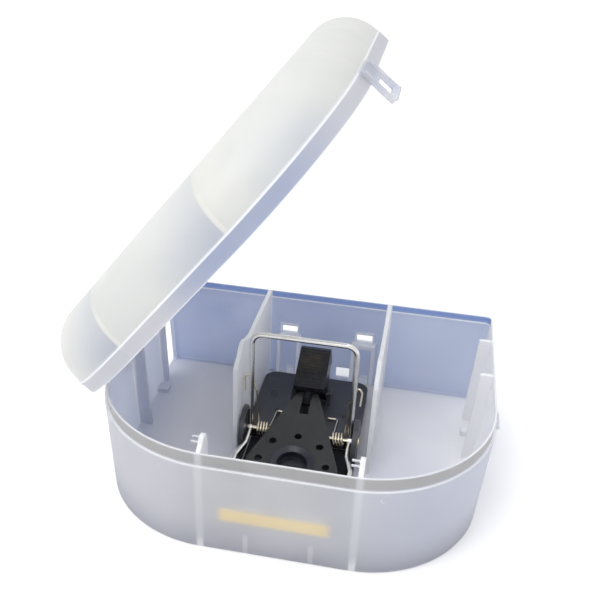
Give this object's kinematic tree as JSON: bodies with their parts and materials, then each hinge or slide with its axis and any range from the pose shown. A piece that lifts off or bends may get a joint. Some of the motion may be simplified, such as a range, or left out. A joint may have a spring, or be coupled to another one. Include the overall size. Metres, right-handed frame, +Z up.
{
  "type": "mouse trap station",
  "caption": "Translucent lidded D-shaped tray with side entrances and compartments, domed hinged lid with snap latch, and a sprung snap trap with treadle inside.",
  "frame": {"origin": "centre of the tray's flat underside", "axes": "+X right along the flat back wall, towards the latch; +Y towards the flat back wall; +Z up"},
  "size_m": [0.1889, 0.1394, 0.1911],
  "materials": {
    "tray_plastic": "translucent moulded polypropylene, softly frosted",
    "lid_plastic": "translucent moulded polypropylene, softly frosted, milkier than the tray",
    "base_plastic": "black moulded plastic, satin",
    "treadle_plastic": "charcoal moulded plastic, fine matt grain",
    "cup_plastic": "black moulded plastic, glossy",
    "catch_plastic": "black moulded plastic with thumb ribs, matt",
    "strip_board": "pale tan board, unfinished",
    "bright_wire": "bright drawn steel wire",
    "gilt_steel": "pale yellow plated steel",
    "spring_wire": "pale yellow plated spring wire",
    "pin_steel": "plain steel pin"
  },
  "bodies": {
    "station": {"tray": "tray_plastic", "trap_base": "base_plastic", "front_strip": "strip_board", "axle": "gilt_steel", "hub_left": "gilt_steel", "hub_right": "gilt_steel", "treadle_pin": "pin_steel", "catch_pin": "pin_steel", "spring_left": "spring_wire", "spring_right": "spring_wire"},
    "lid": {"lid": "lid_plastic"},
    "latch": {"latch": "lid_plastic"},
    "strike": {"wire_frame": "bright_wire"},
    "treadle": {"treadle": "treadle_plastic", "bait_cup": "cup_plastic"},
    "catch": {"catch": "catch_plastic"}
  },
  "joints": [
    {"name": "lid_hinge", "type": "hinge", "parent": "station", "child": "lid", "pos_m": [-0.09, 0, 0.0445], "axis": [0, -1, 0], "range_deg": [-51.4, 45]},
    {"name": "latch_flex", "type": "hinge", "parent": "lid", "child": "latch", "pos_m": [0.0151, 0, 0.18657], "axis": [0, -1, 0], "range_deg": [0, 8], "stiffness_Nm_per_rad": 0.02, "springref_deg": -1.15},
    {"name": "strike", "type": "hinge", "parent": "station", "child": "strike", "pos_m": [-0.0005, 0, 0.013], "axis": [-1, 0, 0], "range_deg": [0, 84], "stiffness_Nm_per_rad": 0.05, "springref_deg": -28.65, "deforming": ["spring_left", "spring_right"]},
    {"name": "treadle_tilt", "type": "hinge", "parent": "station", "child": "treadle", "pos_m": [-0.0005, -0.043, 0.0063], "axis": [1, 0, 0], "range_deg": [0, 3]},
    {"name": "catch_tilt", "type": "hinge", "parent": "station", "child": "catch", "pos_m": [-0.0005, 0.036, 0.012], "axis": [-1, 0, 0], "range_deg": [0, 15]}
  ],
  "couplings": [
    {"joint": "catch_tilt", "follows": "treadle_tilt", "ratio": 5}
  ]
}
